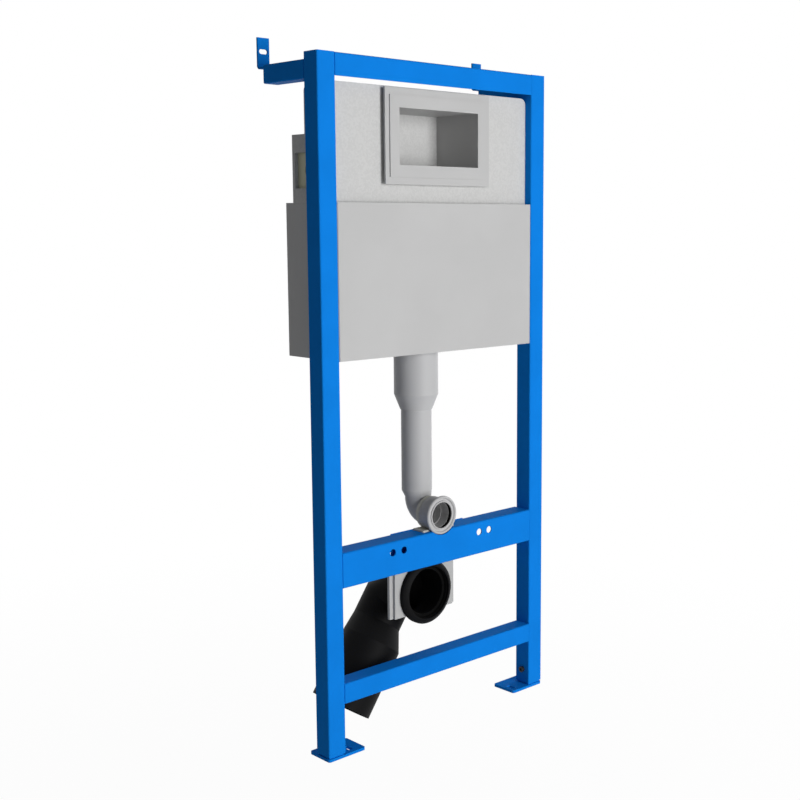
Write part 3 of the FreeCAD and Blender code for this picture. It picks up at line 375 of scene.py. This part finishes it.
finishes = {
    "blue_paint": blue_paint(),
    "dark_plastic": moulded_plastic("cap_plastic", (0.012, 0.03, 0.12), 0.5, relief=0.5),
    "screw_steel": dark_steel(),
    "tank_plastic": moulded_plastic("tank_plastic", (0.47, 0.47, 0.47), 0.5, relief=0.15,
                                    specular_ior_level=0.2),
    "insulation_foam": bead_foam(),
    "access_plastic": moulded_plastic("access_plastic", (0.46, 0.46, 0.46), 0.5, relief=0.15,
                                      specular_ior_level=0.2),
    "inlet_plastic": moulded_plastic("inlet_plastic", (0.50, 0.50, 0.36), 0.5),
    "pipe_plastic": moulded_plastic("pipe_plastic", (0.46, 0.46, 0.465), 0.42, relief=0.12,
                                    specular_ior_level=0.15),
    "clip_plastic": moulded_plastic("clip_plastic", (0.50, 0.49, 0.43), 0.5),
    "clamp_metal": moulded_plastic("clamp_coating", (0.42, 0.42, 0.41), 0.5, relief=0.3),
    "drain_plastic": moulded_plastic("drain_plastic", (0.0055, 0.0055, 0.0058), 0.55, variation=0.1,
                                     specular_ior_level=0.05),
    "seal_rubber": rubber(),
}


def dress_nodes():
    """Gives each CAD node the finish of its slot."""
    for subpart in frame["record"]["subparts"]:
        node = frame["nodes"][subpart["node"]]
        node.data.materials.clear()
        node.data.materials.append(finishes[subpart["material_slot"]])


dress_nodes()


# Flush elbow and its mouth
def flush_elbow():
    """A shoulder under the pipe, a narrower quarter bend to the front and its straight end."""
    top = Vector((middle_x, pipe_y, pipe_low.z))
    piece = open_circle("smooth_flush_elbow", top, ABOVE, pipe_radius)
    lip = top + BELOW * ELBOW_LIP
    draw_out(BELOW * ELBOW_LIP, lip, ELBOW_LIP_SHARE)
    narrow = lip + BELOW * ELBOW_SHOULDER + FRONT * ELBOW_FORWARD
    draw_out(narrow - lip, narrow, ELBOW_RADIUS / (pipe_radius * ELBOW_LIP_SHARE))
    bend_top = outlet_z + ELBOW_BEND
    draw_out(BELOW * (narrow.z - bend_top))
    hub = Vector((middle_x, narrow.y - ELBOW_BEND, bend_top))
    bpy.ops.mesh.spin(steps=BEND_STEPS, angle=math.radians(90), center=hub, axis=RIGHT)
    draw_out(FRONT * (hub.y - sleeve_high.y))
    close_and_face_out(piece)
    apply(piece, "SOLIDIFY", thickness=ELBOW_WALL, offset=-1, use_even_offset=True)
    settle(piece)
    return dress(piece, "pipe_plastic", stands_for="flush_elbow")


def outlet_mouth():
    """The ring with its crest, the sleeve's thin rim and the rubber lip behind it."""
    ring_radius = (ring_high.x - ring_low.x) / 2
    sleeve_radius = (sleeve_high.x - sleeve_low.x) / 2
    back = ring_high.y - ring_low.y
    seat = sleeve_radius + SEAT_GAP
    centre = Vector((middle_x, ring_low.y, outlet_z))
    ring = turned("outlet_ring_face", centre, BACK, [
        (back, seat),
        (RING_GROOVE, seat),
        (RING_GROOVE, 29.0 * MM),
        (1.4 * MM, 29.6 * MM),
        (0.4 * MM, 30.5 * MM),
        (0, 31.6 * MM),
        (0.3 * MM, 32.7 * MM),
        (1.1 * MM, 33.6 * MM),
        (2.2 * MM, 34.1 * MM),
        (3.2 * MM, ring_radius),
        (back - 0.8 * MM, ring_radius),
        (back, ring_radius - 0.8 * MM),
    ])
    dress(ring, "pipe_plastic", stands_for="outlet_ring")
    mouth = Vector((middle_x, sleeve_low.y, outlet_z))
    end = sleeve_high.y - sleeve_low.y
    sleeve = turned("outlet_sleeve_mouth", mouth, BACK, [
        (end, OUTLET_BORE - 0.6 * MM),
        (LIP_END, OUTLET_BORE - 0.4 * MM),
        (LIP_END, sleeve_radius - 0.8 * MM),
        (LIP_START, sleeve_radius - 0.8 * MM),
        (LIP_START, OUTLET_BORE),
        (0.5 * MM, OUTLET_BORE),
        (0, OUTLET_BORE + 0.5 * MM),
        (0, sleeve_radius - 0.5 * MM),
        (0.5 * MM, sleeve_radius),
        (end, sleeve_radius),
    ])
    dress(sleeve, "pipe_plastic", stands_for="outlet_sleeve")
    seat = sleeve_radius - 0.9 * MM
    lip = turned("outlet_lip_seal", mouth, BACK, [
        (LIP_END - 0.1 * MM, seat),
        (LIP_START + 0.1 * MM, seat),
        (LIP_START + 0.1 * MM, OUTLET_BORE + 0.3 * MM),
        (LIP_START + 1.6 * MM, OUTLET_BORE + 0.1 * MM),
        (LIP_START + 3.2 * MM, OUTLET_BORE + 0.7 * MM),
        (LIP_END - 1.2 * MM, OUTLET_BORE + 0.1 * MM),
        (LIP_END - 0.1 * MM, OUTLET_BORE + 0.4 * MM),
    ])
    dress(lip, "seal_rubber")


def pipe_clip():
    """The clip with its two feet drawn in, and its edges eased."""
    clip_low, clip_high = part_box("pipe_clip")
    reach = (clip_high.x - clip_low.x) / 2
    node = frame["nodes"]["pipe_clip"]
    piece = bpy.data.objects.new("eased_pipe_clip", node.data.copy())
    bpy.context.scene.collection.objects.link(piece)
    edit(piece)
    bpy.ops.mesh.select_all(action="SELECT")
    bpy.ops.mesh.remove_doubles(threshold=0.01 * MM)
    bpy.ops.mesh.select_all(action="DESELECT")
    deselect()
    for corner in piece.data.vertices:
        corner.select = abs(corner.co.x - middle_x) > reach - CLIP_END
    edit(piece)
    centre = Vector((middle_x, clip_low.y, clip_low.z))
    bpy.ops.transform.resize(value=(CLIP_REACH / reach, 1, 1), center_override=centre)
    apply(piece, "BEVEL", width=CLIP_EASE, segments=2, limit_method="ANGLE", angle_limit=SMOOTH_ANGLE)
    settle(piece)
    return dress(piece, "clip_plastic", stands_for="pipe_clip")


# Drain
def drain_socket():
    """A wide mouth with a bevelled lip, a seat for its seal and the sleeve behind it."""
    centre = Vector((middle_x, socket_low.y - MOUTH_FORWARD, drain_z))
    lip_back = clamp_low.y - centre.y
    end = socket_high.y - centre.y
    piece = turned("drain_socket_mouth", centre, BACK, [
        (end, SLEEVE_RADIUS - SOCKET_WALL),
        (MOUTH_DEPTH, SLEEVE_RADIUS - SOCKET_WALL),
        (MOUTH_DEPTH, MOUTH_BORE),
        (0.6 * MM, MOUTH_BORE),
        (0, MOUTH_BORE + 0.6 * MM),
        (0, MOUTH_BORE + 1.9 * MM),
        (5.2 * MM, MOUTH_RADIUS - 0.4 * MM),
        (5.8 * MM, MOUTH_RADIUS),
        (lip_back - 0.8 * MM, MOUTH_RADIUS),
        (lip_back, MOUTH_RADIUS - 0.8 * MM),
        (lip_back, SLEEVE_RADIUS),
        (end, SLEEVE_RADIUS),
    ])
    return dress(piece, "drain_plastic", stands_for="drain_socket")


def drain_seal():
    """A rubber ring with three soft ribs and a flange that covers the seat's back."""
    centre = Vector((middle_x, socket_low.y - MOUTH_FORWARD, drain_z))
    outer = MOUTH_BORE - 0.1 * MM
    back = MOUTH_DEPTH - 0.1 * MM
    flange = back - SEAL_WALL
    front = flange - SEAL_RIBS * SEAL_PITCH
    profile = [(back, outer), (front, outer)]
    for count in range(SEAL_RIBS):
        reach = front + count * SEAL_PITCH
        profile.append((reach, outer - SEAL_WALL))
        profile.append((reach + 0.3 * SEAL_PITCH, outer - SEAL_WALL - 0.6 * SEAL_HEIGHT))
        profile.append((reach + 0.5 * SEAL_PITCH, outer - SEAL_WALL - SEAL_HEIGHT))
        profile.append((reach + 0.7 * SEAL_PITCH, outer - SEAL_WALL - 0.6 * SEAL_HEIGHT))
    profile.append((flange, outer - SEAL_WALL))
    profile.append((flange, SLEEVE_RADIUS))
    profile.append((back, SLEEVE_RADIUS))
    return dress(turned("drain_seal_ribs", centre, BACK, profile), "seal_rubber", stands_for="drain_seal")


def tilt_into_place(piece):
    """Turns a drain piece made upright about the socket's axis, and moves it there."""
    piece.location = (middle_x, 0, drain_z)
    piece.rotation_euler = (0, DRAIN_TILT, 0)
    settle(piece, MITRE_ANGLE)


def turn_down(angle, hub):
    """Extrudes the selected loop and turns it about a hub, from the back to downwards."""
    bpy.ops.mesh.extrude_region_move(TRANSFORM_OT_translate={"value": (0, 0, 0)})
    bpy.ops.transform.rotate(value=angle, orient_axis="X", center_override=hub)


def drain_bend():
    """A stub through the clamps, a quarter bend of mitred runs, and a neck."""
    start = Vector((0, clamp_low.y, 0))
    piece = open_circle("mitred_drain_bend", start, BACK, DRAIN_RADIUS)
    draw_out(BACK * DRAIN_STUB)
    hub = start + BACK * DRAIN_STUB + BELOW * DRAIN_BEND
    half = math.radians(90) / DRAIN_CUTS / 2
    stretch = 1 / math.cos(half)
    for _ in range(DRAIN_CUTS):
        turn_down(half, hub)
        bpy.ops.transform.resize(value=(1, stretch, stretch), center_override=hub)
        turn_down(half, hub)
        bpy.ops.transform.resize(value=(1, 1 / stretch, 1 / stretch), center_override=hub)
    draw_out(BELOW * DRAIN_NECK)
    close_and_face_out(piece)
    apply(piece, "SOLIDIFY", thickness=DRAIN_WALL, offset=-1, use_even_offset=True)
    tilt_into_place(piece)
    return dress(piece, "drain_plastic", stands_for="drain_bend")


def drain_reducer():
    """An eccentric cone whose back runs on straight, and the wide lower end."""
    neck = Vector((0, clamp_low.y + DRAIN_STUB + DRAIN_BEND, -DRAIN_BEND - DRAIN_NECK))
    piece = open_circle("eccentric_reducer", neck, BELOW, DRAIN_RADIUS)
    wide = neck + BELOW * REDUCER_CONE + FRONT * (REDUCER_RADIUS - DRAIN_RADIUS)
    draw_out(wide - neck, wide, REDUCER_RADIUS / DRAIN_RADIUS)
    draw_out(BELOW * (wide.z + DRAIN_END))
    close_and_face_out(piece)
    apply(piece, "SOLIDIFY", thickness=DRAIN_WALL, offset=-1, use_even_offset=True)
    tilt_into_place(piece)
    return dress(piece, "drain_plastic", stands_for="drain_reducer")


def joined(name, pieces):
    """Makes one mesh of several."""
    deselect()
    for piece in pieces:
        piece.select_set(True)
    bpy.context.view_layer.objects.active = pieces[0]
    bpy.ops.object.join()
    whole = bpy.context.object
    whole.name = name
    whole.data.name = name
    return whole


# Small fasteners and joints
def hexagon(name, centre, facing, across_flats, thickness):
    """A nut or a bolt's head: a hexagonal block with its outer corners eased."""
    deselect()
    turn = facing.to_track_quat("Z", "Y").to_euler()
    corner = across_flats / math.sqrt(3)
    bpy.ops.mesh.primitive_cylinder_add(
        vertices=6, radius=corner, depth=thickness, location=centre + facing * thickness / 2, rotation=turn
    )
    piece = bpy.context.object
    piece.name = name
    bpy.ops.object.transform_apply(location=True, rotation=True, scale=True)
    edit(piece)
    bpy.ops.mesh.select_all(action="SELECT")
    bpy.ops.mesh.bevel(offset=HEX_EASE, segments=2, affect="EDGES")
    deselect()
    settle(piece)
    return piece


def bolt_through_clamps(x, z):
    """A hexagon bolt with washers and its nut, through both drain clamps."""
    front = Vector((x, clamp_low.y, z))
    behind = Vector((x, back_clamp_high.y, z))
    washers = [
        turned("washer", place, facing, [
            (0, BOLT_RADIUS), (0, WASHER_RADIUS), (WASHER_THICKNESS, WASHER_RADIUS),
            (WASHER_THICKNESS, BOLT_RADIUS),
        ], sides=32)
        for place, facing in ((front, FRONT), (behind, BACK))
    ]
    head = hexagon("head", front + FRONT * WASHER_THICKNESS, FRONT, BOLT_FLATS, BOLT_HEAD)
    nut = hexagon("nut", behind + BACK * WASHER_THICKNESS, BACK, BOLT_FLATS, BOLT_NUT)
    start = WASHER_THICKNESS + BOLT_NUT - THREAD_PITCH
    thread = [(start, BOLT_RADIUS)]
    for count in range(THREAD_TURNS):
        crest = start + (count + 0.5) * THREAD_PITCH
        thread.append((crest, BOLT_RADIUS))
        thread.append((crest + THREAD_PITCH / 2, BOLT_RADIUS - THREAD_DEPTH))
    thread.append((thread[-1][0], THREAD_DEPTH))
    end = turned("thread", behind, BACK, thread, sides=32)
    return washers + [head, nut, end]


def clamp_bolts():
    """Two bolts in the clamps' upper corners, behind the cross rail."""
    z = clamp_high.z - BOLT_DROP
    pieces = bolt_through_clamps(middle_x - BOLT_OFFSET, z) + bolt_through_clamps(middle_x + BOLT_OFFSET, z)
    return dress(joined("clamp_bolts", pieces), "screw_steel")


def weld(start, end):
    """A rippled bead laid in a corner from one point to another."""
    run = end - start
    way = run.normalized()
    ripples = int(run.length / WELD_RIPPLE)
    pitch = run.length / ripples
    profile = [(0, WELD_TIP)]
    for count in range(ripples):
        profile.append(((count + 0.25) * pitch, WELD_RADIUS))
        profile.append(((count + 0.75) * pitch, WELD_RADIUS * WELD_WAIST))
    profile.append((run.length, WELD_TIP))
    return turned("bead", start, way, profile, sides=12)


def weld_beads():
    """The fillets behind and under the rails and on the wall arms."""
    low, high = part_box("low_rail")
    beads = []
    for x in (low.x, high.x):
        beads.append(weld(
            Vector((x, low.y + WELD_INSET, low.z)),
            Vector((x, high.y - WELD_INSET, low.z)),
        ))
        beads.append(weld(
            Vector((x, high.y, low.z + WELD_INSET)),
            Vector((x, high.y, high.z - WELD_INSET)),
        ))
    for rail in ("cross_rail", "top_rail"):
        low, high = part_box(rail)
        web = low.y + SHEET + WELD_OFFSET
        for x in (low.x, high.x):
            beads.append(weld(
                Vector((x, web, low.z + WELD_INSET)),
                Vector((x, web, high.z - WELD_INSET)),
            ))
    for arm in ("left_wall_arm", "right_wall_arm"):
        arm_low, arm_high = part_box(arm)
        first = Vector((arm_low.x + WELD_INSET, arm_low.y, arm_high.z))
        last = Vector((arm_high.x - WELD_INSET, arm_low.y, arm_high.z))
        beads.append(weld(first, last))
    return dress(joined("weld_beads", beads), "blue_paint")


def inlet_thread():
    """The thread of the water connection, inside the left insert's bore."""
    inlet_low, inlet_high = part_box("left_water_inlet")
    centre = Vector((inlet_low.x, (inlet_low.y + inlet_high.y) / 2, (inlet_low.z + inlet_high.z) / 2))
    profile = [(INLET_DEPTH, INLET_BORE), (0.5 * MM, INLET_BORE)]
    turns = int((INLET_DEPTH - 1 * MM) / INLET_PITCH)
    for count in range(turns):
        start = 0.5 * MM + count * INLET_PITCH
        profile.append((start + 0.25 * INLET_PITCH, INLET_BORE - 0.2 * MM))
        profile.append((start + 0.75 * INLET_PITCH, INLET_BORE - 1.2 * MM))
    profile.append((INLET_DEPTH, INLET_BORE - 0.2 * MM))
    return dress(turned("inlet_thread", centre, RIGHT, profile, sides=48), "inlet_plastic")


flush_elbow()
outlet_mouth()
pipe_clip()
drain_socket()
drain_seal()
drain_bend()
drain_reducer()
clamp_bolts()
weld_beads()
inlet_thread()


# Floor, light and camera
def seen_directly(nodes, links):
    """1 for rays from the camera and for those through glass or off gloss."""
    path = nodes.new("ShaderNodeLightPath")
    first = nodes.new("ShaderNodeMath")
    first.operation = "MAXIMUM"
    second = nodes.new("ShaderNodeMath")
    second.operation = "MAXIMUM"
    links.new(path.outputs["Is Camera Ray"], first.inputs[0])
    links.new(path.outputs["Is Glossy Ray"], first.inputs[1])
    links.new(first.outputs[0], second.inputs[0])
    links.new(path.outputs["Is Transmission Ray"], second.inputs[1])
    return second.outputs[0]


def floor():
    """A pale floor under the drawn out legs, that darkens only where the part shades it."""
    deselect()
    bpy.ops.mesh.primitive_plane_add(size=40, location=(0, 0, floor_level - LEG_TRAVEL - FLOOR_GAP))
    plane = bpy.context.object
    plane.name = "floor"
    material = bpy.data.materials.new("floor")
    material.use_nodes = True
    nodes, links = material.node_tree.nodes, material.node_tree.links
    nodes.clear()
    diffuse = nodes.new("ShaderNodeBsdfDiffuse")
    diffuse.inputs["Color"].default_value = (0.8, 0.8, 0.8, 1)
    glow = nodes.new("ShaderNodeEmission")
    mix = nodes.new("ShaderNodeMixShader")
    place = nodes.new("ShaderNodeTexCoord")
    distance = nodes.new("ShaderNodeVectorMath")
    distance.operation = "LENGTH"
    whitening = nodes.new("ShaderNodeMapRange")
    whitening.inputs["From Min"].default_value = 0.4
    whitening.inputs["From Max"].default_value = 2.0
    whitening.inputs["To Min"].default_value = 0.96
    whitening.inputs["To Max"].default_value = 1.0
    share = nodes.new("ShaderNodeMath")
    share.operation = "MULTIPLY"
    out = nodes.new("ShaderNodeOutputMaterial")
    links.new(place.outputs["Object"], distance.inputs[0])
    links.new(distance.outputs["Value"], whitening.inputs["Value"])
    links.new(seen_directly(nodes, links), share.inputs[0])
    links.new(whitening.outputs["Result"], share.inputs[1])
    links.new(share.outputs[0], mix.inputs["Fac"])
    links.new(diffuse.outputs[0], mix.inputs[1])
    links.new(glow.outputs[0], mix.inputs[2])
    links.new(mix.outputs[0], out.inputs["Surface"])
    plane.data.materials.append(material)


def surroundings():
    """White behind the part, and a weaker white that fills its shadows."""
    world = bpy.data.worlds.new("surroundings")
    bpy.context.scene.world = world
    world.use_nodes = True
    nodes, links = world.node_tree.nodes, world.node_tree.links
    background = nodes["Background"]
    background.inputs["Color"].default_value = (1, 1, 1, 1)
    level = nodes.new("ShaderNodeMapRange")
    level.inputs["To Min"].default_value = FILL_LEVEL
    level.inputs["To Max"].default_value = 1.0
    links.new(seen_directly(nodes, links), level.inputs["Value"])
    links.new(level.outputs["Result"], background.inputs["Strength"])


def softbox(name, place, aim, width, height, power):
    """A rectangular lamp that looks at a point."""
    lamp = bpy.data.lights.new(name, "AREA")
    lamp.shape = "RECTANGLE"
    lamp.size = width
    lamp.size_y = height
    lamp.energy = power
    holder = bpy.data.objects.new(name, lamp)
    bpy.context.scene.collection.objects.link(holder)
    holder.location = place
    holder.rotation_euler = (Vector(aim) - Vector(place)).to_track_quat("-Z", "Y").to_euler()


FLOOR_GAP = 0.2 * MM
FILL_LEVEL = 0.15
KEY_POWER = 132
RIGHT_POWER = 40
BACK_POWER = 15
CAMERA_PLACE = (-1.2160, -1.7460, -0.2591)
CAMERA_TURN = math.radians(-44.73)
CAMERA_TILT = math.radians(90 - 7.87)
FOCAL_PIXELS = 1251.2
IMAGE_CENTRE = (486.2, 393.1)
SENSOR = 36.0


def camera():
    """The photograph's viewpoint; its shift is that of the photograph's crop."""
    lens = bpy.data.cameras.new("camera")
    lens.sensor_width = SENSOR
    lens.lens = FOCAL_PIXELS * SENSOR / IMAGE_SIDE
    lens.shift_x = (IMAGE_SIDE / 2 - IMAGE_CENTRE[0]) / IMAGE_SIDE
    lens.shift_y = (IMAGE_CENTRE[1] - IMAGE_SIDE / 2) / IMAGE_SIDE
    holder = bpy.data.objects.new("camera", lens)
    bpy.context.scene.collection.objects.link(holder)
    holder.location = CAMERA_PLACE
    holder.rotation_euler = (CAMERA_TILT, 0, CAMERA_TURN)
    bpy.context.scene.camera = holder


middle = (cad_low + cad_high) / 2
floor()
surroundings()
softbox("key", middle + Vector((0.3, -4.0, 0.35)), middle, 1.4, 2.0, KEY_POWER)
softbox("right", middle + Vector((3.4, 0.5, 0.8)), middle, 1.8, 2.2, RIGHT_POWER)
softbox("back", middle + Vector((1.0, 3.2, 1.4)), middle, 2.2, 2.2, BACK_POWER)
camera()
bpy.context.scene.view_settings.view_transform = "Standard"
